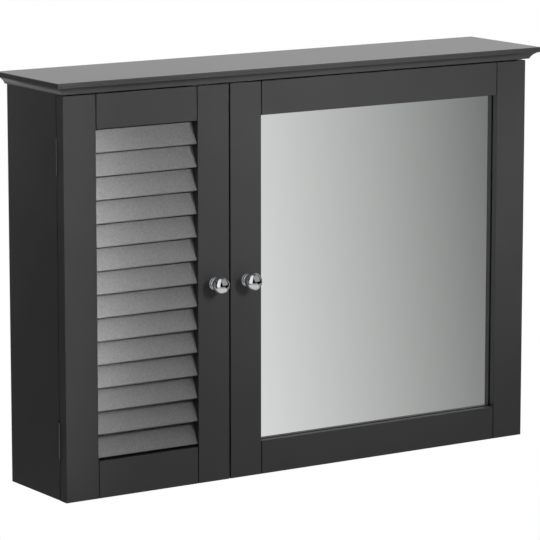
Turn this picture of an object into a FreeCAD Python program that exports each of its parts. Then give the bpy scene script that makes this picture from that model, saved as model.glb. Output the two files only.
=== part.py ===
import FreeCAD, Part
import math
import os

# Wall cabinet with a louvre door and a mirror door.
# Millimetres. X runs to the viewer's right, Y back to the wall, Z up.
# The origin lies on the wall, midway between the two wall-screw holes.

# Case
case_width = 672.0            # across the outer faces of the side panels
case_height = 486.0           # side panels, lower ends to the top board
case_depth = 116.0            # wall to the front edges of the side panels
board = 15.0                  # side panels, bottom panel and divider
edge_round = 0.7              # sanded edges of the painted boards

# Top board
top_thickness = 15.0
top_overhang = 14.0           # past the closed doors and the side panels
lip_height = 6.0              # flat edge above the cove
lip_round = 1.0
cove_foot = 3.3               # how far the foot of the cove stands out past the doors
cove_hollow = 1.8             # depth of the cove behind a straight slope

# Back panel and hanging rail
back_thickness = 3.0
back_rebate = 7.0             # ledge in the side panels that the back panel lies on
back_play = 0.5               # round the edge of the back panel
hang_height = 60.0
hang_thickness = 12.0
hang_play = 0.5               # round the rail in the divider's notch
wall_hole_spacing = 400.0
wall_hole_radius = 3.0
nail_radius = 0.7
nail_head_radius = 1.5
nail_head = 0.6
nail_bite = 9.0               # into the board behind the back panel
nail_edge = 9.0               # nail line below the top edge of the hanging rail
side_nails = 4
row_nails = 5

# Shelves
shelf_thickness = 12.0
shelf_play = 1.0
shelf_setback = 14.0          # behind the front edges of the side panels
pin_radius = 2.5
pin_out = 8.0
pin_wall = 1.0                # wood left between two pins that meet in the divider
pin_tab = 1.5
pin_tab_width = 8.0
pin_pitch = 32.0
pin_rows = 5
pin_inset = 28.0              # pin columns from the front and back ends of a shelf

# Knock-down fittings
snug = 0.05                   # radial clearance of pins, dowels and screws in their holes
cam_radius = 7.5
cam_wall = 3.0                # wood left behind a cam disc
cam_inset = 24.0              # cam centre from the end of its board
cam_slot = 2.0
bolt_radius = 3.0
fitting_wall = 5.0            # wood left past the end of a bolt or dowel
fitting_spread = 64.0         # between the two cams of a joint
dowel_radius = 3.0
divider_dowel_spread = 50.0
hang_dowel_spread = 32.0

# Doors
door_gap = 2.0                # between the doors, and below the top board
door_thickness = 15.0
louvre_door_width = 228.0
stile_width = 44.0
rail_width = 41.5
louvre_sill = 45.0            # bottom rail of the louvre door, a little deeper
tenon_length = 9.0
tenon_thickness = 6.0
tenon_setback = 3.0           # from the front of the door
tenon_shoulder = 8.5          # clear of the mirror's rebate
joint_play = 0.1              # round tenons and slat ends
joint_groove = 1.0            # shadow line between a rail's end and the stile
joint_groove_depth = 2.0

# Slats
slat_count = 14
slat_thickness = 4.0
slat_face = 27.0              # front face, measured up the slope
slat_tilt = 23.5              # degrees from upright, top leaning back
slat_setback = 2.2            # front lower edge behind the door front
slat_housing = 5.0            # slat ends let into the stiles
slat_flush = 0.3              # planed rear edge inside the door back
slat_round = 0.8
slat_foot = 3.9               # clear below the lowest slat
slat_head = 2.6               # clear above the highest slat

# Mirror
glass_thickness = 3.0
backing_thickness = 4.0
glass_rebate = 8.0
glass_play = 0.5
clip_length = 18.0
clip_width = 9.0
clip_thickness = 1.2
clip_lap = 6.0                # over the backing board
clips_per_side = 2

# Hinges
hinge_length = 44.0
hinge_inset = 73.0            # hinge centre from the door's top and bottom
leaf_width = 13.0             # from the hinge axis
leaf_thickness = 0.9
leaf_play = 0.2               # between the closed leaves
knuckle_count = 5
knuckle_radius = 2.2
knuckle_play = 0.3
barrel_air = 0.4              # round the barrel in the door and the side panel
hinge_pin_radius = 1.0
pin_hold = 0.01               # radial, in the case leaf
pin_run = 0.05                # radial, in the door leaf
leaf_screw_spread = 26.0

# Screws
screw_radius = 1.25
screw_head_radius = 2.2
screw_recess_radius = 0.9
screw_recess = 0.7
case_screw_length = 16.0
door_screw_length = 11.0
clip_screw_length = 9.0

# Knobs
knob_height = 244.0           # knob centre above the foot of the door
knob_radius = 11.0
knob_middle = 16.5            # widest ring in front of the door
knob_rear = 8.0               # widest ring back to the pole of the rear curve
knob_front = 9.5              # widest ring to the tip
knob_neck_radius = 4.5
knob_collar_radius = 7.0
knob_collar = 2.4
knob_groove_radius = 5.8
knob_groove = 0.9
knob_base_radius = 7.6
knob_base = 2.6
knob_screw_radius = 2.0
knob_screw_bite = 10.0
knob_screw_head_radius = 4.0
knob_screw_head = 2.4

# Magnetic catches
catch_width = 34.0
catch_depth = 14.0
catch_height = 14.0
catch_flange = 2.5
catch_housing = 20.0
catch_side_air = 1.0          # beside the divider
catch_screw_length = 12.0
magnet_width = 16.0
magnet_height = 6.0
magnet_depth = 9.0
magnet_drop = 9.0             # magnet centre below the top board
catch_air = 0.3               # magnet to strike plate
strike_width = 28.0
strike_height = 10.0
strike_thickness = 1.0

# Planes that the pieces share
Vec = FreeCAD.Vector
across = Vec(1, 0, 0)
inward = Vec(0, 1, 0)
outward = Vec(0, -1, 0)
upward = Vec(0, 0, 1)

left_x = -case_width / 2
right_x = case_width / 2
left_in_x = left_x + board
right_in_x = right_x - board
front_y = -case_depth
back_y = -back_thickness
hang_y = back_y - hang_thickness
top_z = hang_height / 2
floor_z = top_z - case_height
bottom_z = floor_z + board
seam = 2 * leaf_thickness + leaf_play
axis_y = front_y - seam / 2
door_back_y = front_y - seam
door_front_y = door_back_y - door_thickness
door_low_z = floor_z
door_high_z = top_z - door_gap
opening_low_z = door_low_z + rail_width
louvre_low_z = door_low_z + louvre_sill
opening_high_z = door_high_z - rail_width
louvre_low_x = left_x
louvre_high_x = left_x + louvre_door_width
mirror_low_x = louvre_high_x + door_gap
mirror_high_x = right_x
divider_x = louvre_high_x + door_gap / 2
divider_low_x = divider_x - board / 2
divider_high_x = divider_x + board / 2
fitting_ys = [front_y / 2 - fitting_spread / 2, front_y / 2 + fitting_spread / 2]
hinge_zs = {"upper": door_high_z - hinge_inset, "lower": door_low_z + hinge_inset}
shelf_front_y = front_y + shelf_setback
shelf_back_y = back_y - shelf_play
pin_ys = [shelf_front_y + pin_inset, shelf_back_y - pin_inset]
pin_mid_z = (bottom_z + top_z) / 2
shelf_z = pin_mid_z + pin_radius
pin_in = board / 2 - pin_wall
dowel_length = 2 * (board - fitting_wall)


# Shared shapes
def slab(x0, x1, y0, y1, z0, z1):
    corner = Vec(min(x0, x1), min(y0, y1), min(z0, z1))
    return Part.makeBox(abs(x1 - x0), abs(y1 - y0), abs(z1 - z0), corner)


def rod(start, axis, radius, length):
    return Part.makeCylinder(radius, length, start, axis)


def rounded(solid, radius, chosen):
    edges = [edge for edge in solid.Edges if chosen(edge.BoundBox)]
    return solid.makeFillet(radius, edges)


def with_holes(solid, cutters):
    near = [cutter for cutter in cutters if cutter.BoundBox.intersect(solid.BoundBox)]
    return solid.cut(near) if near else solid


def line(start, end):
    return Part.LineSegment(start, end).toShape()


def arc(start, middle, end):
    return Part.Arc(start, middle, end).toShape()


def evenly(low, high, count):
    step = (high - low) / count
    return [low + step * (index + 0.5) for index in range(count)]


# Fasteners: each can be grown to cut its own hole
def dowel(middle, axis, grow=0.0):
    length = dowel_length + 2 * grow
    return rod(middle - axis * (length / 2), axis, dowel_radius + grow, length)


def screw(seat, axis, length, head, grow=0.0):
    cone = Part.makeCone(screw_head_radius + grow, screw_radius + grow, head, seat, axis)
    whole = cone.fuse(rod(seat, axis, screw_radius + grow, length + grow))
    if grow:
        return whole
    return whole.cut(Part.makeCone(screw_recess_radius, 0, screw_recess, seat, axis))


def nail(seat, axis, grow=0.0):
    head = rod(seat, axis, nail_head_radius + grow, nail_head + grow)
    return head.fuse(rod(seat, axis, nail_radius + grow, back_thickness + nail_bite + grow))


def cam_disc(seat, axis, bolt_axis, grow=0.0):
    depth = board - cam_wall
    disc = rod(seat, axis, cam_radius + grow, depth + grow)
    if grow:
        return disc
    slot = slab(-cam_radius, cam_radius, -cam_slot / 2, cam_slot / 2, 0, cam_slot)
    slot.Placement = FreeCAD.Placement(seat, FreeCAD.Rotation(upward, axis))
    bolt_bore = rod(seat + axis * (board / 2), bolt_axis, bolt_radius + snug, cam_radius)
    return disc.cut([slot, bolt_bore])


def cam_bolt(cam_seat, axis, bolt_axis, bite, grow=0.0):
    start = cam_seat + axis * (board / 2)
    return rod(start, bolt_axis, bolt_radius + grow, cam_inset + bite + grow)


def cam_places():
    # Cam seat, cam axis, bolt axis and bite: sides up into the top, bottom panel out into the sides
    for side in (-1, 1):
        inner_x = side * (case_width / 2 - board)
        for y in fitting_ys:
            yield Vec(inner_x, y, top_z - cam_inset), across * side, upward, top_thickness - fitting_wall
            yield Vec(inner_x - side * cam_inset, y, floor_z), upward, across * side, board - fitting_wall


def dowel_places():
    for side in (-1, 1):
        inner_x = side * (case_width / 2 - board)
        yield Vec(inner_x + side * board / 2, front_y / 2, top_z), upward
        yield Vec(inner_x, front_y / 2, floor_z + board / 2), across
        for z in (-hang_dowel_spread / 2, hang_dowel_spread / 2):
            yield Vec(inner_x, back_y - hang_thickness / 2, z), across
    for y in (front_y / 2 - divider_dowel_spread / 2, front_y / 2 + divider_dowel_spread / 2):
        yield Vec(divider_x, y, top_z), upward
        yield Vec(divider_x, y, bottom_z), upward


def nail_places():
    ledge_x = case_width / 2 - board + back_rebate / 2
    for z in evenly(floor_z, top_z, side_nails):
        yield Vec(-ledge_x, 0, z)
        yield Vec(ledge_x, 0, z)
    for x in evenly(left_in_x, right_in_x, row_nails):
        yield Vec(x, 0, floor_z + board / 2)
        yield Vec(x, 0, top_z - nail_edge)


# Hinges: side is -1 at the louvre door and 1 at the mirror door
def hinge_axis_x(side):
    return side * case_width / 2


def knuckle_spans(first):
    step = hinge_length / knuckle_count
    for index in range(first, knuckle_count, 2):
        low = index * step - hinge_length / 2
        yield low + knuckle_play / 2, step - knuckle_play


def leaf_screw_places(side, z):
    x = hinge_axis_x(side) - side * board / 2
    return [Vec(x, axis_y, z - leaf_screw_spread / 2), Vec(x, axis_y, z + leaf_screw_spread / 2)]


def hinge_leaf(side, z, facing, first, bore_play):
    # A plate against its board, notched for the other leaf's knuckles and rolled into its own
    x = hinge_axis_x(side)
    near_y = axis_y + facing.y * leaf_play / 2
    far_y = near_y + facing.y * leaf_thickness
    half = hinge_length / 2
    leaf = slab(x, x - side * leaf_width, near_y, far_y, z - half, z + half)
    notches = []
    for low, length in knuckle_spans(1 - first):
        start = Vec(x, axis_y, z + low - knuckle_play)
        notches.append(rod(start, upward, knuckle_radius + knuckle_play, length + 2 * knuckle_play))
    rolls = []
    for low, length in knuckle_spans(first):
        rolls.append(rod(Vec(x, axis_y, z + low), upward, knuckle_radius, length))
    leaf = leaf.cut(notches).fuse(rolls)
    bore = rod(Vec(x, axis_y, z - half), upward, hinge_pin_radius + bore_play, hinge_length)
    holes = [leaf_screw(place, facing, snug) for place in leaf_screw_places(side, z)]
    return leaf.cut(holes + [bore])


def leaf_screw(place, facing, grow=0.0):
    seat = place + facing * (leaf_play / 2)
    length = case_screw_length if facing == inward else door_screw_length
    return screw(seat, facing, length, leaf_thickness, grow)


def hinge_pin(side, z):
    return rod(Vec(hinge_axis_x(side), axis_y, z - hinge_length / 2), upward, hinge_pin_radius, hinge_length)


def barrel_room(side):
    length = hinge_length + 2 * barrel_air
    rooms = []
    for z in hinge_zs.values():
        start = Vec(hinge_axis_x(side), axis_y, z - length / 2)
        rooms.append(rod(start, upward, knuckle_radius + barrel_air, length))
    return rooms


# Magnetic catches, one each side of the divider
def catch_x(side):
    return divider_x + side * (board / 2 + catch_side_air + catch_width / 2)


def catch_screw(x, end, grow=0.0):
    reach = (catch_width + catch_housing) / 4
    seat = Vec(x + end * reach, front_y + catch_depth / 2, top_z - catch_flange)
    return screw(seat, upward, catch_screw_length, catch_flange, grow)


def magnet(x, grow=0.0):
    half = magnet_width / 2 + grow
    reach_y = front_y - (seam - strike_thickness - catch_air)
    mid_z = top_z - magnet_drop
    rise = magnet_height / 2 + grow
    return slab(x - half, x + half, reach_y, front_y + magnet_depth + grow, mid_z - rise, mid_z + rise)


def catch_body(x):
    rear_y = front_y + catch_depth
    flange = slab(x - catch_width / 2, x + catch_width / 2, front_y, rear_y, top_z - catch_flange, top_z)
    housing = slab(x - catch_housing / 2, x + catch_housing / 2, front_y, rear_y, top_z - catch_height, top_z)
    housing = rounded(housing, edge_round, lambda box: box.ZMax < top_z - catch_height / 2)
    return flange.fuse(housing).cut([magnet(x, snug), catch_screw(x, -1, snug), catch_screw(x, 1, snug)])


def strike_screw(x, grow=0.0):
    seat = Vec(x, door_back_y + strike_thickness, top_z - magnet_drop)
    return screw(seat, outward, door_screw_length, strike_thickness, grow)


def strike_plate(x):
    mid_z = top_z - magnet_drop
    plate = slab(
        x - strike_width / 2, x + strike_width / 2, door_back_y, door_back_y + strike_thickness,
        mid_z - strike_height / 2, mid_z + strike_height / 2,
    )
    return plate.cut(strike_screw(x, snug))


# Shelves on spoon pins
def compartments():
    return {"left": (left_in_x, divider_low_x), "right": (divider_high_x, right_in_x)}


def shelf(low_x, high_x):
    body = slab(
        low_x + shelf_play, high_x - shelf_play, shelf_front_y, shelf_back_y,
        shelf_z, shelf_z + shelf_thickness,
    )
    return rounded(body, edge_round, lambda box: box.YMax < shelf_front_y + edge_round)


def shelf_pin(face_x, into, y):
    # A pin in the panel and a flat tab that the shelf lies on
    start = Vec(face_x, y, pin_mid_z) + into * pin_in
    stem = rod(start, into * -1, pin_radius, pin_in + pin_out)
    half = pin_tab_width / 2
    tab = slab(face_x, face_x - into.x * pin_out, y - half, y + half, shelf_z - pin_tab, shelf_z)
    return stem.fuse(tab)


def pin_faces():
    for low_x, high_x in compartments().values():
        yield low_x, across * -1
        yield high_x, across


def pin_holes():
    span = pin_pitch * pin_rows
    for face_x, into in pin_faces():
        for y in pin_ys:
            for z in evenly(pin_mid_z - span / 2, pin_mid_z + span / 2, pin_rows):
                yield rod(Vec(face_x, y, z), into, pin_radius + snug, pin_in + snug)


# Top board: the moulding is mitred where the front profile meets the end profiles
def moulded_edge(place):
    top = top_z + top_thickness
    lip_low = top - lip_height
    rise = lip_low - top_z
    run = top_overhang - cove_foot
    slope = math.hypot(rise, run)
    middle_out = (top_overhang + cove_foot) / 2 - cove_hollow * rise / slope
    middle_up = (lip_low + top_z) / 2 + cove_hollow * run / slope
    corner = lip_round * (1 - math.sqrt(0.5))
    lip_start = place(top_overhang, top - lip_round)
    lip_end = place(top_overhang, lip_low)
    return [
        arc(place(top_overhang - lip_round, top), place(top_overhang - corner, top - corner), lip_start),
        line(lip_start, lip_end),
        arc(lip_end, place(middle_out, middle_up), place(cove_foot, top_z)),
    ]


def prism(edges, direction):
    return Part.Face(Part.Wire(Part.__sortEdges__(edges))).extrude(direction)


def top_board():
    top = top_z + top_thickness
    depth = top_overhang - door_front_y
    width = case_width + 2 * top_overhang

    def front(out, z):
        return Vec(-width / 2, door_front_y - out, z)

    def left(out, z):
        return Vec(left_x - out, -depth, z)

    def right(out, z):
        return Vec(right_x + out, -depth, z)

    flat = top_overhang - lip_round
    wall_low = Vec(-width / 2, 0, top_z)
    wall_high = Vec(-width / 2, 0, top)
    front_edges = moulded_edge(front)
    front_edges += [line(wall_high, front(flat, top)), line(wall_low, wall_high)]
    front_edges += [line(front(cove_foot, top_z), wall_low)]
    end_edges = moulded_edge(left) + moulded_edge(right)
    end_edges += [line(left(flat, top), right(flat, top))]
    end_edges += [line(left(cove_foot, top_z), right(cove_foot, top_z))]
    return prism(front_edges, across * width).common(prism(end_edges, inward * depth))


# Boards of the case
def side_panel(side):
    outer_x = side * case_width / 2
    inner_x = outer_x - side * board
    body = slab(outer_x, inner_x, front_y, 0, floor_z, top_z)

    def seen(box):
        at_front = box.XLength < edge_round and box.YMax < front_y + edge_round
        at_foot = box.ZMax < floor_z + edge_round and box.XLength < edge_round
        return (at_front or at_foot) and abs(box.Center.x - outer_x) < edge_round

    rebate = slab(inner_x, inner_x + side * back_rebate, back_y, 0, floor_z, top_z)
    return rounded(body, edge_round, seen).cut([rebate] + barrel_room(side))


def back_panel():
    half = case_width / 2 - board + back_rebate - back_play
    return slab(-half, half, back_y, 0, floor_z + back_play, top_z - back_play)


def divider():
    body = slab(divider_low_x, divider_high_x, front_y, back_y, bottom_z, top_z)
    notch = slab(divider_low_x, divider_high_x, hang_y - hang_play, back_y, -top_z - hang_play, top_z)
    return body.cut(notch)


def wall_holes():
    length = hang_thickness + back_thickness
    starts = [Vec(side * wall_hole_spacing / 2, hang_y, 0) for side in (-1, 1)]
    return [rod(start, inward, wall_hole_radius, length) for start in starts]


# Door frames
def stile(low_x, high_x):
    body = slab(low_x, high_x, door_front_y, door_back_y, door_low_z, door_high_z)
    return rounded(body, edge_round, lambda box: box.YMax < door_front_y + edge_round)


def tenons(low_x, high_x, low_z, high_z, grow=0.0):
    front = door_front_y + tenon_setback - grow
    rear = door_front_y + tenon_setback + tenon_thickness + grow
    low = low_z + tenon_shoulder - grow
    high = high_z - tenon_shoulder + grow
    reach = tenon_length + grow
    at_low = slab(low_x - reach, low_x, front, rear, low, high)
    at_high = slab(high_x, high_x + reach, front, rear, low, high)
    return [at_low, at_high]


def rail(low_x, high_x, low_z, high_z):
    body = slab(low_x, high_x, door_front_y, door_back_y, low_z, high_z)
    groove_y = door_front_y + joint_groove_depth
    body = body.cut(slab(low_x, low_x + joint_groove, door_front_y, groove_y, low_z, high_z))
    body = body.cut(slab(high_x - joint_groove, high_x, door_front_y, groove_y, low_z, high_z))
    body = rounded(body, edge_round, lambda box: box.YMax < door_front_y + edge_round)
    return body.fuse(tenons(low_x, high_x, low_z, high_z))


def door_frame(low_x, high_x, sill_z):
    # Two full-height stiles and two rails tenoned between them
    inner_low = low_x + stile_width
    inner_high = high_x - stile_width
    mortises = tenons(inner_low, inner_high, door_low_z, sill_z, joint_play)
    mortises += tenons(inner_low, inner_high, opening_high_z, door_high_z, joint_play)
    return {
        "stile_low": with_holes(stile(low_x, inner_low), mortises),
        "stile_high": with_holes(stile(inner_high, high_x), mortises),
        "rail_top": rail(inner_low, inner_high, opening_high_z, door_high_z),
        "rail_bottom": rail(inner_low, inner_high, door_low_z, sill_z),
    }


def slat(low_z, grow=0.0):
    # A flat strip leaned back, its rear top corner planed off inside the door back
    low_x = louvre_low_x + stile_width - slat_housing - grow
    high_x = louvre_high_x - stile_width + slat_housing + grow
    strip = slab(low_x, high_x, -grow, slat_thickness + grow, -grow, slat_face + grow)
    strip = rounded(strip, slat_round + grow, lambda box: box.YMax < slat_round and box.XLength > slat_face)
    strip.rotate(Vec(0, 0, 0), across, -slat_tilt)
    strip.translate(Vec(0, door_front_y + slat_setback, low_z))
    planed_y = door_back_y - slat_flush + grow
    low = low_z - slat_face
    high = low_z + 2 * slat_face
    return strip.cut(slab(low_x, high_x, planed_y, planed_y + door_thickness, low, high))


def slat_feet():
    rise = slat_face * math.cos(math.radians(slat_tilt))
    lowest = louvre_low_z + slat_foot
    highest = opening_high_z - slat_head - rise
    pitch = (highest - lowest) / (slat_count - 1)
    return [highest - pitch * index for index in range(slat_count)]


# Knob: turned in one piece, with the door front at zero and the tip towards the viewer
def knob(x):
    neck_turn = -math.acos(knob_neck_radius / knob_radius)
    steps = 12
    curve_points = []
    for index in range(steps + 1):
        turn = neck_turn + (math.pi / 2 - neck_turn) * index / steps
        reach = knob_front if turn > 0 else knob_rear
        out = knob_middle + reach * math.sin(turn)
        curve_points.append(Vec(knob_radius * math.cos(turn), -out, 0))
    curve_points[-1].x = 0
    head_curve = Part.BSplineCurve()
    head_curve.interpolate(Points=curve_points)
    base_out = knob_base - edge_round
    collar_low = knob_base + knob_groove
    collar_high = collar_low + knob_collar
    collar_mid = (collar_low + collar_high) / 2
    bulge = knob_collar_radius
    shoulder = knob_groove_radius

    def at(radius, out):
        return Vec(radius, -out, 0)

    slant = edge_round * (1 - math.sqrt(0.5))
    edges = [
        line(at(0, 0), at(knob_base_radius, 0)),
        line(at(knob_base_radius, 0), at(knob_base_radius, base_out)),
        arc(at(knob_base_radius, base_out), at(knob_base_radius - slant, knob_base - slant),
            at(knob_base_radius - edge_round, knob_base)),
        line(at(knob_base_radius - edge_round, knob_base), at(shoulder, knob_base)),
        line(at(shoulder, knob_base), at(shoulder, collar_low)),
        arc(at(shoulder, collar_low), at(bulge, collar_mid), at(shoulder, collar_high)),
        line(at(shoulder, collar_high), at(knob_neck_radius, collar_high)),
        line(at(knob_neck_radius, collar_high), curve_points[0]),
        head_curve.toShape(),
        line(curve_points[-1], at(0, 0)),
    ]
    solid = Part.Face(Part.Wire(edges)).revolve(Vec(0, 0, 0), inward, 360)
    bore = rod(Vec(0, 0, 0), outward, knob_screw_radius + snug, knob_screw_bite + snug)
    turned = solid.cut(bore)
    turned.translate(Vec(x, door_front_y, door_low_z + knob_height))
    return turned


def knob_screw(x, grow=0.0):
    seat = Vec(x, door_back_y, door_low_z + knob_height)
    shank = rod(seat, outward, knob_screw_radius + grow, door_thickness + knob_screw_bite)
    if grow:
        return shank
    head = rod(seat, inward, knob_screw_head_radius, knob_screw_head)
    head = rounded(head, edge_round, lambda box: box.YMin > door_back_y + knob_screw_head / 2)
    slot = slab(
        x - knob_screw_head_radius, x + knob_screw_head_radius, door_back_y + knob_screw_head / 2,
        door_back_y + knob_screw_head, seat.z - screw_recess / 2, seat.z + screw_recess / 2,
    )
    return shank.fuse(head.cut(slot))


# Mirror glass, its backing and the clips that hold them
glass_low_x = mirror_low_x + stile_width - glass_rebate
glass_high_x = mirror_high_x - stile_width + glass_rebate
glass_low_z = opening_low_z - glass_rebate
glass_high_z = opening_high_z + glass_rebate
glass_y = door_back_y - backing_thickness - glass_thickness


def glass_sheet(front, thickness):
    return slab(
        glass_low_x + glass_play, glass_high_x - glass_play, front, front + thickness,
        glass_low_z + glass_play, glass_high_z - glass_play,
    )


def clip_places():
    # Middle of each clip on the edge of the glass pocket, and the way from the pocket to the frame
    for z in evenly(glass_low_z, glass_high_z, clips_per_side):
        yield Vec(glass_low_x, door_back_y, z), across * -1
        yield Vec(glass_high_x, door_back_y, z), across
    for x in evenly(glass_low_x, glass_high_x, clips_per_side):
        yield Vec(x, door_back_y, glass_low_z), upward * -1
        yield Vec(x, door_back_y, glass_high_z), upward


def clip(edge, away):
    start = edge - away * clip_lap
    end = start + away * clip_length
    along = Vec(abs(away.z), 0, abs(away.x)) * (clip_width / 2)
    plate = slab(
        start.x - along.x, end.x + along.x, door_back_y, door_back_y + clip_thickness,
        start.z - along.z, end.z + along.z,
    )
    return plate.cut(clip_screw(edge, away, snug))


def clip_screw(edge, away, grow=0.0):
    seat = edge + away * ((clip_length - clip_lap) / 2) + inward * clip_thickness
    return screw(seat, outward, clip_screw_length, clip_thickness, grow)


# Assembly
nodes = {}
louvre_side = -1
mirror_side = 1
catch_xs = {"louvre": catch_x(louvre_side), "mirror": catch_x(mirror_side)}
hinge_sides = {"louvre": louvre_side, "mirror": mirror_side}
knob_xs = {"louvre": louvre_high_x - stile_width / 2, "mirror": mirror_low_x + stile_width / 2}

case_leaf_screws = []
case_leaf_holes = []
pins = []
door_screws = {"louvre": [], "mirror": []}
door_holes = {"louvre": [], "mirror": []}
for door, side in hinge_sides.items():
    for level, z in hinge_zs.items():
        nodes[f"{door}_hinge_{level}_case_leaf"] = hinge_leaf(side, z, inward, 0, pin_hold)
        nodes[f"{door}_hinge_{level}_door_leaf"] = hinge_leaf(side, z, outward, 1, pin_run)
        pins.append(hinge_pin(side, z))
        for place in leaf_screw_places(side, z):
            case_leaf_screws.append(leaf_screw(place, inward))
            case_leaf_holes.append(leaf_screw(place, inward, snug))
            door_screws[door].append(leaf_screw(place, outward))
            door_holes[door].append(leaf_screw(place, outward, snug))
    door_holes[door] += barrel_room(side)
nodes["hinge_pins"] = Part.makeCompound(pins)

catch_screws = []
catch_holes = []
for door, x in catch_xs.items():
    nodes[f"catch_{door}"] = catch_body(x)
    nodes[f"{door}_strike_plate"] = strike_plate(x)
    for end in (-1, 1):
        catch_screws.append(catch_screw(x, end))
        catch_holes.append(catch_screw(x, end, snug))
    door_screws[door].append(strike_screw(x))
    door_holes[door].append(strike_screw(x, snug))
nodes["catch_magnets"] = Part.makeCompound([magnet(x) for x in catch_xs.values()])
nodes["case_screws"] = Part.makeCompound(case_leaf_screws + catch_screws)

nodes["cam_discs"] = Part.makeCompound([cam_disc(*place[:3]) for place in cam_places()])
nodes["cam_bolts"] = Part.makeCompound([cam_bolt(*place) for place in cam_places()])
nodes["dowels"] = Part.makeCompound([dowel(*place) for place in dowel_places()])
nodes["back_panel_nails"] = Part.makeCompound([nail(seat, outward) for seat in nail_places()])

case_holes = [cam_disc(*place[:3], snug) for place in cam_places()]
case_holes += [cam_bolt(*place, snug) for place in cam_places()]
case_holes += [dowel(*place, snug) for place in dowel_places()]
case_holes += [nail(seat, outward, snug) for seat in nail_places()]
case_holes += list(pin_holes()) + wall_holes() + catch_holes + case_leaf_holes

case_boards = {
    "top_board": top_board(),
    "side_panel_left": side_panel(louvre_side),
    "side_panel_right": side_panel(mirror_side),
    "bottom_panel": slab(left_in_x, right_in_x, front_y, back_y, floor_z, bottom_z),
    "centre_divider": divider(),
    "back_panel": back_panel(),
    "hanging_rail": slab(left_in_x, right_in_x, hang_y, back_y, -top_z, top_z),
}
for name, solid in case_boards.items():
    nodes[name] = with_holes(solid, case_holes)

for name, (low_x, high_x) in compartments().items():
    nodes[f"shelf_{name}"] = shelf(low_x, high_x)
nodes["shelf_pins"] = Part.makeCompound([shelf_pin(x, into, y) for x, into in pin_faces() for y in pin_ys])

for door, x in knob_xs.items():
    nodes[f"{door}_knob"] = knob(x)
    nodes[f"{door}_knob_screw"] = knob_screw(x)
    door_holes[door].append(knob_screw(x, snug))

louvre_frame = door_frame(louvre_low_x, louvre_high_x, louvre_low_z)
slat_slots = [slat(low_z, joint_play) for low_z in slat_feet()]
louvre_cuts = door_holes["louvre"] + slat_slots
nodes["louvre_stile_outer"] = with_holes(louvre_frame["stile_low"], louvre_cuts)
nodes["louvre_stile_inner"] = with_holes(louvre_frame["stile_high"], louvre_cuts)
nodes["louvre_rail_top"] = with_holes(louvre_frame["rail_top"], door_holes["louvre"])
nodes["louvre_rail_bottom"] = with_holes(louvre_frame["rail_bottom"], door_holes["louvre"])
for index, low_z in enumerate(slat_feet()):
    nodes[f"louvre_slat_{index + 1:02d}"] = slat(low_z)
nodes["louvre_door_screws"] = Part.makeCompound(door_screws["louvre"])

mirror_frame = door_frame(mirror_low_x, mirror_high_x, opening_low_z)
glass_pocket = slab(glass_low_x, glass_high_x, glass_y, door_back_y, glass_low_z, glass_high_z)
mirror_cuts = door_holes["mirror"] + [glass_pocket]
mirror_cuts += [clip_screw(edge, away, snug) for edge, away in clip_places()]
nodes["mirror_stile_inner"] = with_holes(mirror_frame["stile_low"], mirror_cuts)
nodes["mirror_stile_outer"] = with_holes(mirror_frame["stile_high"], mirror_cuts)
nodes["mirror_rail_top"] = with_holes(mirror_frame["rail_top"], mirror_cuts)
nodes["mirror_rail_bottom"] = with_holes(mirror_frame["rail_bottom"], mirror_cuts)
nodes["mirror_glass"] = glass_sheet(glass_y, glass_thickness)
nodes["mirror_backing"] = glass_sheet(glass_y + glass_thickness, backing_thickness)
nodes["mirror_retainers"] = Part.makeCompound([clip(edge, away) for edge, away in clip_places()])
clip_screws = [clip_screw(edge, away) for edge, away in clip_places()]
nodes["mirror_door_screws"] = Part.makeCompound(door_screws["mirror"] + clip_screws)

os.makedirs("parts", exist_ok=True)
for name, shape in nodes.items():
    shape.exportStep(f"parts/{name}.step")
print(len(nodes), "nodes,", sum(len(shape.Solids) for shape in nodes.values()), "solids")
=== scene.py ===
import math

import bmesh
import bpy
import numpy as np
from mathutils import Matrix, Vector


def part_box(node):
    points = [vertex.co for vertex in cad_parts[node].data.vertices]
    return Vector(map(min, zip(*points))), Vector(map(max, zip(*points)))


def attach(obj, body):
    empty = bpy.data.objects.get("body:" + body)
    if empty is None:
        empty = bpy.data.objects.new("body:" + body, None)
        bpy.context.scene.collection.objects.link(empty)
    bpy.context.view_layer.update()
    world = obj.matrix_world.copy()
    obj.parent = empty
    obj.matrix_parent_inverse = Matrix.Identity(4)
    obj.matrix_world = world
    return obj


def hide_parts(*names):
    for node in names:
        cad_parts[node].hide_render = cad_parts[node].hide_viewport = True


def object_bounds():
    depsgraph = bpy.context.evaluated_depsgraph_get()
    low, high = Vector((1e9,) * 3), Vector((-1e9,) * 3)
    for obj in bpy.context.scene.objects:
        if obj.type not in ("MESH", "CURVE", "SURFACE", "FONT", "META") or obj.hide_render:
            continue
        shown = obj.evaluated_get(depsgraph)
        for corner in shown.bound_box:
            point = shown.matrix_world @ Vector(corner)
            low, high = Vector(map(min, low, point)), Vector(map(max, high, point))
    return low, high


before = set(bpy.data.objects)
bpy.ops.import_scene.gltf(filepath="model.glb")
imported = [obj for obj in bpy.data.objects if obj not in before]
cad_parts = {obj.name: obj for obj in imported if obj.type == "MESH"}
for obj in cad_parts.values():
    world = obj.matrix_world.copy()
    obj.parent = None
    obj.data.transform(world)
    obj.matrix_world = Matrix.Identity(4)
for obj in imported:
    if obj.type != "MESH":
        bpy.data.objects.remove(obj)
cadLow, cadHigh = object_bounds()
scene = bpy.context.scene
scene.view_settings.view_transform = "Standard"
mm = 0.001


def hexToLinear(code):
    # sRGB hex to the linear colour that the shaders work in
    srgb = [int(code[i:i + 2], 16) / 255 for i in (1, 3, 5)]
    linear = [c / 12.92 if c <= 0.04045 else ((c + 0.055) / 1.055) ** 2.4 for c in srgb]
    return (*linear, 1.0)


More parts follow.
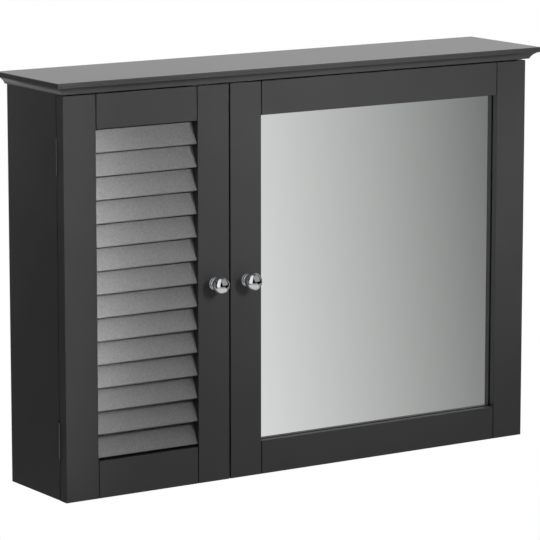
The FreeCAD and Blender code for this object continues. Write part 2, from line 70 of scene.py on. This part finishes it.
def addNode(tree, kind, settings=None, **sockets):
    # sockets go by name, or by number where a name isn't unique: i6 is the seventh input;
    # a socket takes a link where it is given another node's output, and a plain value otherwise
    node = tree.nodes.new(kind)
    for name, value in (settings or {}).items():
        setattr(node, name, value)
    for name, value in sockets.items():
        number = name[1:]
        socket = node.inputs[int(number) if number.isdigit() else name.replace("_", " ")]
        if isinstance(value, bpy.types.NodeSocket):
            tree.links.new(value, socket)
        else:
            socket.default_value = value
    return node


def newMaterial(name):
    material = bpy.data.materials.new(name)
    material.use_nodes = True
    tree = material.node_tree
    tree.nodes.clear()
    return material, tree


def perSize(sizeInMm):
    # texture scale at which one cell of the pattern is that many millimetres across
    return 1 / (sizeInMm * mm)


def objectPlace(tree):
    return addNode(tree, "ShaderNodeTexCoord").outputs["Object"]


def noise(tree, sizeInMm, detail, **more):
    cloud = addNode(tree, "ShaderNodeTexNoise", Vector=objectPlace(tree), Scale=perSize(sizeInMm),
                    Detail=detail, **more)
    return cloud.outputs["Fac"]


def blend(tree, share, first, second):
    mixed = addNode(tree, "ShaderNodeMix", {"data_type": "RGBA"}, Factor=share,
                    i6=hexToLinear(first), i7=hexToLinear(second))
    return mixed.outputs[2]


def between(tree, share, low, high):
    return addNode(tree, "ShaderNodeMapRange", Value=share, To_Min=low, To_Max=high).outputs[0]


def bumped(tree, height, depthInMm, strength=1.0, **more):
    bump = addNode(tree, "ShaderNodeBump", Height=height, Distance=depthInMm * mm,
                   Strength=strength, **more)
    return bump.outputs["Normal"]


def principled(tree, **sockets):
    shader = addNode(tree, "ShaderNodeBsdfPrincipled", **sockets)
    addNode(tree, "ShaderNodeOutputMaterial", Surface=shader.outputs[0])


# satin lacquer sprayed on fibreboard: near-black neutral grey with a broad soft sheen,
# and orange peel that only shows where the sheen falls
boardLacquer = {
    "colour": "#3a3a3a",
    "paler": "#424242",
    "blotch": 90.0,           # slow drift of the spray, mm
    "roughness": 0.36,
    "sheenSpread": 0.05,      # roughness varies this much either way
    "peel": 3.2,              # orange peel, mm; the real 1 to 2 mm is too fine to show
    "peelDepth": 0.012,
    "grit": 1.1,              # dust in the coat, mm
    "gritDepth": 0.004,
    "ior": 1.5,
}
# the slats' coat: the boards' lacquer painted lighter, a mid grey that stands in for the light the slats
# catch; flatter and a little sandy
slatLacquerPaintedLighter = {
    "colour": "#565656",
    "paler": "#787878",
    "blotch": 2.6,            # sandy mottle, mm; the real specks are under 1 mm
    "roughness": 0.5,
    "sheenSpread": 0.05,
    "peel": 3.2,
    "peelDepth": 0.016,
    "grit": 1.1,
    "gritDepth": 0.012,
    "ior": 1.5,
}


def satinLacquer(name, coat):
    material, tree = newMaterial(name)
    tone = blend(tree, noise(tree, coat["blotch"], detail=3.0), coat["colour"], coat["paler"])
    peel = noise(tree, coat["peel"], detail=1.0)
    grit = noise(tree, coat["grit"], detail=2.0)
    spread = coat["sheenSpread"]
    sheen = between(tree, grit, coat["roughness"] - spread, coat["roughness"] + spread)
    wave = bumped(tree, peel, coat["peelDepth"])
    nibs = bumped(tree, grit, coat["gritDepth"], Normal=wave)
    principled(tree, Base_Color=tone, Roughness=sheen, IOR=coat["ior"], Normal=nibs)
    return material


# float glass silvered on its back: a clear reflection, faintly green, with the haze that wiping leaves
silvering = {
    "colour": "#f6f8f7",
    "cloud": 60.0,            # mm
    "detail": 4.0,
    "clear": 0.005,           # roughness, least and most
    "hazy": 0.02,
}
# chrome plate on turned brass: a hard bright mirror with the faintest polishing haze
chromePlate = {
    "colour": "#e2e4e6",
    "cloud": 4.0,
    "detail": 3.0,
    "clear": 0.01,
    "hazy": 0.03,
}


def polished(name, face):
    material, tree = newMaterial(name)
    haze = between(tree, noise(tree, face["cloud"], face["detail"]), face["clear"], face["hazy"])
    principled(tree, Base_Color=hexToLinear(face["colour"]), Metallic=1.0, Roughness=haze)
    return material


# rolled or cast metal under a dull plate: grey, cloudy, with a fine grain
plating = {
    "cloudGrains": 8,         # a cloud is this many grains across
    "sheenSpread": 0.08,
    "grainDepth": 0.02,       # mm
}


def dullPlate(name, colour, dark, roughness, grain):
    material, tree = newMaterial(name)
    tone = blend(tree, noise(tree, grain * plating["cloudGrains"], detail=4.0), colour, dark)
    fine = noise(tree, grain, detail=2.0)
    spread = plating["sheenSpread"]
    sheen = between(tree, fine, roughness - spread, roughness + spread)
    grained = bumped(tree, fine, plating["grainDepth"])
    principled(tree, Base_Color=tone, Metallic=1.0, Roughness=sheen, Normal=grained)
    return material


# hot-pressed hardboard, oil tempered: dark brown fibre mat, marked all over by the press screen
hardboard = {
    "colour": "#4a3a2d",
    "paler": "#655241",
    "fibre": 5.0,             # mm
    "swirl": 1.5,
    "screen": 2.4,            # mesh of the press screen, mm
    "screenDepth": 0.12,
    "screenPress": 0.6,
    "roughness": 0.82,
}


def pressedHardboard():
    material, tree = newMaterial("pressedHardboard")
    fibre = noise(tree, hardboard["fibre"], detail=6.0, Distortion=hardboard["swirl"])
    tone = blend(tree, fibre, hardboard["colour"], hardboard["paler"])
    screen = addNode(tree, "ShaderNodeTexVoronoi", {"distance": "CHEBYCHEV"}, Vector=objectPlace(tree),
                     Scale=perSize(hardboard["screen"]), Randomness=0.0)
    marks = bumped(tree, screen.outputs["Distance"], hardboard["screenDepth"], hardboard["screenPress"])
    principled(tree, Base_Color=tone, Roughness=hardboard["roughness"], Normal=marks)
    return material


# turned beech: pale pinkish brown with small darker flecks
beechRod = {
    "colour": "#c9a27c",
    "dark": "#a57f5b",
    "fleck": 1.6,             # mm
    "roughness": 0.6,
}


def beech():
    material, tree = newMaterial("flutedBeech")
    tone = blend(tree, noise(tree, beechRod["fleck"], detail=3.0), beechRod["colour"], beechRod["dark"])
    principled(tree, Base_Color=tone, Roughness=beechRod["roughness"])
    return material


# injection-moulded plastic, and the sintered magnet in it: even, dull, lightly grained
moulding = {
    "grain": 0.8,             # mm
    "grainDepth": 0.02,
}


def dullSolid(name, colour, paler, roughness):
    material, tree = newMaterial(name)
    grain = noise(tree, moulding["grain"], detail=2.0)
    tone = blend(tree, grain, colour, paler)
    grained = bumped(tree, grain, moulding["grainDepth"])
    principled(tree, Base_Color=tone, Roughness=roughness, Normal=grained)
    return material


finishes = {
    # plate: colour, darker colour, roughness, grain in mm; solid: colour, paler colour, roughness
    "painted_board": satinLacquer("anthraciteLacquer", boardLacquer),
    # the slats' lighter grey is painted light, a lit copy of the boards' lacquer
    "painted_slat": satinLacquer("midGreyLacquer", slatLacquerPaintedLighter),
    "dark_steel": dullPlate("burnishedDarkSteel", "#686868", "#545454", 0.4, 0.5),
    "mirror": polished("silveredFloatGlass", silvering),
    "chrome": polished("polishedChromePlate", chromePlate),
    "plated_steel": dullPlate("brightZincPlate", "#c3c6c9", "#a3a7ab", 0.3, 0.5),
    "zinc": dullPlate("dieCastZinc", "#a9abad", "#86898c", 0.48, 0.9),
    "hardboard": pressedHardboard(),
    "beech": beech(),
    "catch_plastic": dullSolid("mouldedPolypropylene", "#d9d8d3", "#e2e1dd", 0.45),
    "magnet": dullSolid("sinteredFerrite", "#2c2b2b", "#3a3938", 0.6),
}
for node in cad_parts.values():
    for place in node.material_slots:
        place.material = finishes[place.material.name]
print("finishes:", len(finishes))


# Knobs: turned profiles carried round the knob's axis
knob = {
    "around": 96,
    "along": 40,              # points on the head, pole to neck
    "headRadius": 11.0,
    "headMiddle": 16.5,       # widest ring in front of the door
    "headRear": 8.0,
    "headFront": 9.5,
    "neckRadius": 4.5,
    "collarRadius": 7.0,
    "grooveRadius": 5.8,
    "collarLow": 3.5,
    "collarHigh": 5.9,
    "baseRadius": 7.6,
    "baseHeight": 2.6,
    "baseRound": 0.7,
    "beadPoints": 16,
    "shoulderPoints": 8,
    "sharpFrom": 40,          # degrees; flatter edges are shaded smooth
}


def arcPoints(centre, radii, start, end, count):
    turn = np.linspace(start, end, count)
    return np.stack([centre[0] + radii[0] * np.cos(turn), centre[1] + radii[1] * np.sin(turn)], 1)


def knobProfile():
    # (radius, distance from the door): two quarter ellipses make the head, a bead the collar,
    # and a rounded disc the base
    k = knob
    quarter = math.pi / 2
    neckTurn = -math.acos(k["neckRadius"] / k["headRadius"])
    front = arcPoints((0, k["headMiddle"]), (k["headRadius"], k["headFront"]), quarter, 0, k["along"])
    rear = arcPoints((0, k["headMiddle"]), (k["headRadius"], k["headRear"]), 0, neckTurn, k["along"] // 2)
    beadMiddle = (k["collarLow"] + k["collarHigh"]) / 2
    beadReach = (k["collarRadius"] - k["grooveRadius"], (k["collarHigh"] - k["collarLow"]) / 2)
    bead = arcPoints((k["grooveRadius"], beadMiddle), beadReach, quarter, -quarter, k["beadPoints"])
    corner = (k["baseRadius"] - k["baseRound"], k["baseHeight"] - k["baseRound"])
    shoulder = arcPoints(corner, (k["baseRound"], k["baseRound"]), quarter, 0, k["shoulderPoints"])
    neck = [[k["neckRadius"], k["collarHigh"]]]
    groove = [[k["grooveRadius"], k["baseHeight"]]]
    foot = [[k["baseRadius"], 0], [0, 0]]
    return np.concatenate([front, rear[1:], neck, bead, groove, shoulder, foot]) * mm


def turnedMesh(name, profile, around, origin):
    # surface of revolution: x = r cos a, z = r sin a, y = -distance, about the knob's own axis
    angle = np.linspace(0, 2 * math.pi, around, endpoint=False)
    radius = profile[1:-1, 0][:, None]
    ring = np.stack([radius * np.cos(angle), np.repeat(-profile[1:-1, 1][:, None], around, 1),
                     radius * np.sin(angle)], 2).reshape(-1, 3)
    tip = [[0, -profile[0, 1], 0]]
    tail = [[0, -profile[-1, 1], 0]]
    points = np.concatenate([ring, tip, tail]) + np.array(origin)
    rows = len(profile) - 2
    here = np.arange(around)
    beside = (here + 1) % around
    low = np.arange(rows - 1)[:, None] * around
    high = low + around
    quads = np.stack([low + here, low + beside, high + beside, high + here], 2).reshape(-1, 4)
    tipIndex = rows * around
    cap = np.stack([np.full(around, tipIndex), beside, here], 1)
    lastRow = (rows - 1) * around
    base = np.stack([np.full(around, tipIndex + 1), lastRow + here, lastRow + beside], 1)
    mesh = bpy.data.meshes.new(name)
    mesh.from_pydata(points.tolist(), [], quads.tolist() + cap.tolist() + base.tolist())
    mesh.update()
    return mesh


def makeKnob(door):
    node = f"{door}_knob"
    low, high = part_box(node)
    origin = ((low.x + high.x) / 2, high.y, (low.z + high.z) / 2)
    mesh = turnedMesh(f"{door}_turned_knob", knobProfile(), knob["around"], origin)
    mesh.shade_smooth()
    mesh.set_sharp_from_angle(angle=math.radians(knob["sharpFrom"]))
    piece = bpy.data.objects.new(f"{door}_turned_knob", mesh)
    scene.collection.objects.link(piece)
    piece.data.materials.append(finishes["chrome"])
    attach(piece, f"{door}_door")
    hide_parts(node)
    return piece


knobs = [makeKnob(door) for door in ("louvre", "mirror")]
print("knobs:", [len(piece.data.polygons) for piece in knobs], "faces each")


# Mirror: the silver lies behind clear glass, so a dark line shows between it and the frame's lip
mirror = {
    "depth": 1.9,             # how deep the silver looks behind the face of 3 mm glass
    "arris": 0.4,             # ground edge
}


def makeMirror():
    low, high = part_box("mirror_glass")
    low.y += mirror["depth"] * mm
    sheet = bmesh.new()
    bmesh.ops.create_cube(sheet, size=1.0)
    size = high - low
    for point in sheet.verts:
        point.co = (low + high) / 2 + Vector(a * b for a, b in zip(point.co, size))
    bmesh.ops.bevel(sheet, geom=sheet.edges[:], offset=mirror["arris"] * mm, segments=1, affect="EDGES")
    mesh = bpy.data.meshes.new("silvered_mirror_sheet")
    sheet.to_mesh(mesh)
    sheet.free()
    piece = bpy.data.objects.new("silvered_mirror_sheet", mesh)
    scene.collection.objects.link(piece)
    mesh.materials.append(finishes["mirror"])
    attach(piece, "mirror_door")
    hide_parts("mirror_glass")
    return piece


silver = makeMirror()
print("mirror:", [round(v, 4) for v in silver.dimensions])


# Studio: white world and floor, cards for the reflections, lamps and camera
studio = {
    "floorDrop": 1.1,         # floor below the cabinet, as when it hangs at eye height
    "floorReach": 14.0,
    "floorColour": "#f2f2f2",
    "fadeFrom": 1.6,          # pale floor inside this radius, white background outside the next
    "fadeTo": 3.4,
    "pale": 0.75,             # how far the pale floor is on its way to that white
    "floorGlow": 0.3,         # how white that outer floor is in reflections
    "ambient": 0.01,          # world light on the object; 1 is the white background
}


def seenRays(tree):
    # 1 for rays from the camera, from polished metal and through glass; 0 for the light on dull surfaces
    path = addNode(tree, "ShaderNodeLightPath")
    first = addNode(tree, "ShaderNodeMath", {"operation": "MAXIMUM"},
                    i0=path.outputs["Is Camera Ray"], i1=path.outputs["Is Glossy Ray"])
    both = addNode(tree, "ShaderNodeMath", {"operation": "MAXIMUM"},
                   i0=first.outputs[0], i1=path.outputs["Is Transmission Ray"])
    return both.outputs[0]


def whiteWorld():
    world = bpy.data.worlds.new("whiteWorld")
    world.use_nodes = True
    tree = world.node_tree
    tree.nodes.clear()
    strength = between(tree, seenRays(tree), studio["ambient"], 1.0)
    light = addNode(tree, "ShaderNodeBackground", Color=(1, 1, 1, 1), Strength=strength)
    addNode(tree, "ShaderNodeOutputWorld", Surface=light.outputs[0])
    scene.world = world


def stagePiece(name, corners, material):
    mesh = bpy.data.meshes.new(name)
    mesh.from_pydata(corners, [], [list(range(len(corners)))])
    piece = bpy.data.objects.new(name, mesh)
    scene.collection.objects.link(piece)
    mesh.materials.append(material)
    return piece


def whiteFloor():
    material, tree = newMaterial("whiteFloor")
    across = addNode(tree, "ShaderNodeVectorMath", {"operation": "MULTIPLY"},
                     i0=objectPlace(tree), i1=(1, 1, 0))
    radius = addNode(tree, "ShaderNodeVectorMath", {"operation": "LENGTH"}, i0=across.outputs[0])
    fade = addNode(tree, "ShaderNodeMapRange", {"interpolation_type": "SMOOTHSTEP"},
                   Value=radius.outputs["Value"], From_Min=studio["fadeFrom"], From_Max=studio["fadeTo"],
                   To_Min=studio["pale"])
    share = addNode(tree, "ShaderNodeMath", {"operation": "MULTIPLY"},
                    i0=fade.outputs[0], i1=seenRays(tree))
    dull = addNode(tree, "ShaderNodeBsdfDiffuse", Color=hexToLinear(studio["floorColour"]))
    camera = addNode(tree, "ShaderNodeLightPath").outputs["Is Camera Ray"]
    level = between(tree, camera, studio["floorGlow"], 1.0)
    white = addNode(tree, "ShaderNodeEmission", Color=(1, 1, 1, 1), Strength=level)
    mixed = addNode(tree, "ShaderNodeMixShader", i0=share.outputs[0], i1=dull.outputs[0],
                    i2=white.outputs[0])
    addNode(tree, "ShaderNodeOutputMaterial", Surface=mixed.outputs[0])
    reach = studio["floorReach"]
    z = cadLow.z - studio["floorDrop"]
    corners = [(-reach, -reach, z), (reach, -reach, z), (reach, reach, z), (-reach, reach, z)]
    return stagePiece("floor", corners, material)


# cards that only reflections see, as a photographer hangs them round a shiny object
cards = {
    # name: middle, faces, roll in degrees, width, height, left and right grey
    "mirrorCard": ((1.786, -2.519, -0.73), (0.1, -0.13, -0.2), 6.3, 0.75, 2.2, "#e9eae9", "#555555"),
    "mirrorEnd": ((2.588, -1.975, -0.625), (0.904, 0.413, -0.095), 6.3, 1.2, 2.2, "#555555", "#555555"),
    "greyPanel": ((1.1, -2.0, 1.18), (-0.1, -0.15, -0.2), 0, 3.7, 3.3, "#a4a4a4", "#a4a4a4"),
    "whitePanel": ((-1.69, -1.46, 0.6), (-0.1, -0.15, -0.2), 0, 1.82, 3.6, "#ffffff", "#ffffff"),
    "whiteTop": ((-0.75, -0.72, 2.75), (-0.1, -0.15, -0.2), 0, 1.6, 1.3, "#ffffff", "#ffffff"),
    "tableCard": ((-0.1, -1.25, -1.5), (-0.1, -1.26, 1.0), 0, 3.6, 2.4, "#d4d4d4", "#d4d4d4"),
    "backCard": ((-0.3, 2.2, -1.45), (-0.3, 2.21, 1.0), 0, 1.3, 2.0, "#ffffff", "#ffffff"),
    "leftFlag": ((-1.9, 2.4, -0.1), (-0.34, -0.1, -0.2), 0, 3.4, 2.4, "#141414", "#141414"),
    "leftDark": ((-2.2, -0.05, 0.3), (-0.1, -0.15, -0.2), 0, 1.4, 3.6, "#101010", "#101010"),
    "rightWall": ((4.5, -3.2, 2.6), (0.0, -3.2, 2.6), 0, 6.0, 8.2, "#6a6a6a", "#6a6a6a"),
    "hallWall": ((0.0, -6.0, 2.6), (0.0, 0.0, 2.6), 0, 9.0, 8.2, "#6a6a6a", "#6a6a6a"),
    "ceiling": ((0.0, -2.4, 6.6), (0.0, -2.3, 0.0), 0, 9.0, 7.4, "#6a6a6a", "#6a6a6a"),
}


def addCard(name, middle, faces, roll, width, height, leftGrey, rightGrey):
    # upright rectangle facing a point; its grey runs from one side to the other
    material, tree = newMaterial(name)
    toward = (Vector(faces) - Vector(middle)).normalized()
    level = toward.cross(Vector((0, 0, 1))).normalized()
    turn = math.radians(roll)
    side = level * math.cos(turn) + level.cross(toward) * math.sin(turn)
    up = side.cross(toward)
    offset = addNode(tree, "ShaderNodeVectorMath", {"operation": "SUBTRACT"},
                     i0=objectPlace(tree), i1=middle)
    along = addNode(tree, "ShaderNodeVectorMath", {"operation": "DOT_PRODUCT"},
                    i0=offset.outputs[0], i1=side)
    share = addNode(tree, "ShaderNodeMapRange", Value=along.outputs["Value"],
                    From_Min=-width / 2, From_Max=width / 2)
    grey = blend(tree, share.outputs[0], leftGrey, rightGrey)
    glow = addNode(tree, "ShaderNodeEmission", Color=grey, Strength=1.0)
    addNode(tree, "ShaderNodeOutputMaterial", Surface=glow.outputs[0])
    signs = [(-1, -1), (1, -1), (1, 1), (-1, 1)]
    corners = [Vector(middle) + side * (a * width / 2) + up * (b * height / 2) for a, b in signs]
    card = stagePiece(name, corners, material)
    card.visible_camera = False
    card.visible_diffuse = False
    card.visible_shadow = False
    return card


# camera at the photograph's angle
shot = {
    "aim": (-0.0494, -0.133, -0.2036),   # point on the door fronts at the middle of the frame
    "distance": 4.162,
    "yaw": 33.207,            # degrees round from straight on, towards the cabinet's left
    "pitch": 10.094,          # degrees down
    "lens": 228.67,
}


def addCamera():
    yaw = math.radians(shot["yaw"])
    pitch = math.radians(shot["pitch"])
    ahead = Vector((math.sin(yaw) * math.cos(pitch), math.cos(yaw) * math.cos(pitch), -math.sin(pitch)))
    data = bpy.data.cameras.new("shot")
    data.lens = shot["lens"]
    camera = bpy.data.objects.new("shot", data)
    camera.location = Vector(shot["aim"]) - ahead * shot["distance"]
    camera.rotation_euler = ahead.to_track_quat("-Z", "Y").to_euler()
    scene.collection.objects.link(camera)
    scene.camera = camera
    return ahead


lamps = {
    # name: where it stands, what it points at, width, height, watts, spread in degrees
    "keySoftbox": ((0.07, -0.855, 0.10), (-0.06, -0.13, 0.02), 0.2, 0.2, 1.31, 92),
    "leftStrip": ((-0.345, -0.25, -0.17), (-0.335, -0.13, -0.17), 0.06, 0.56, 0.085, 100),
    "rightFill": ((0.75, -0.55, -0.13), (0.33, -0.13, -0.17), 0.3, 0.4, 0.68, 100),
    "overhead": ((0.38, -0.20, 1.10), (0.25, -0.07, 0.04), 0.8, 0.4, 14.0, 180),
    "backFill": ((0.35, 1.3, 0.1), (0.0, 0.0, -0.2), 1.0, 1.0, 9.0, 180),
    "kicker": ((-0.75, 0.35, 0.0), (-0.34, -0.06, -0.13), 0.3, 0.3, 2.35, 180),
    "slatStrip": ((-0.325, -0.20, -0.162), (-0.25, -0.13, -0.162), 0.03, 0.375, 0.385, 180),
}


def addLamp(name, place, target, width, height, power, spread):
    data = bpy.data.lights.new(name, "AREA")
    data.shape = "RECTANGLE"
    data.size = width
    data.size_y = height
    data.energy = power
    data.spread = math.radians(spread)
    lamp = bpy.data.objects.new(name, data)
    lamp.location = place
    lamp.rotation_euler = (Vector(target) - Vector(place)).to_track_quat("-Z", "Y").to_euler()
    lamp.visible_glossy = False
    scene.collection.objects.link(lamp)
    return lamp


def lightOnly(lamp, pieces):
    # the lamp reaches only these pieces, and only they stand in its way
    group = bpy.data.collections.new(lamp.name)
    for piece in pieces:
        group.objects.link(piece)
    lamp.light_linking.receiver_collection = group
    lamp.light_linking.blocker_collection = group


def hideFrom(card, pieces):
    # the card gives these pieces no light, so they reflect it as black
    group = bpy.data.collections.new(card.name)
    for piece in pieces:
        group.objects.link(piece)
    for member in group.collection_objects:
        member.light_linking.link_state = "EXCLUDE"
    card.light_linking.receiver_collection = group


whiteWorld()
whiteFloor()
hung = {name: addCard(name, *card) for name, card in cards.items()}
slats = [node for name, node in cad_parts.items() if "slat" in name]
# black bars in the chrome; the slats go without these cards too, so that only the strip grades them
for name in ("mirrorCard", "mirrorEnd", "hallWall", "rightWall"):
    hideFrom(hung[name], knobs + slats)
hung.update({name: addLamp(name, *lamp) for name, lamp in lamps.items()})
lightOnly(hung["slatStrip"], slats)
ahead = addCamera()
print("studio:", len(lamps), "lamps, camera looks along", [round(v, 3) for v in ahead])
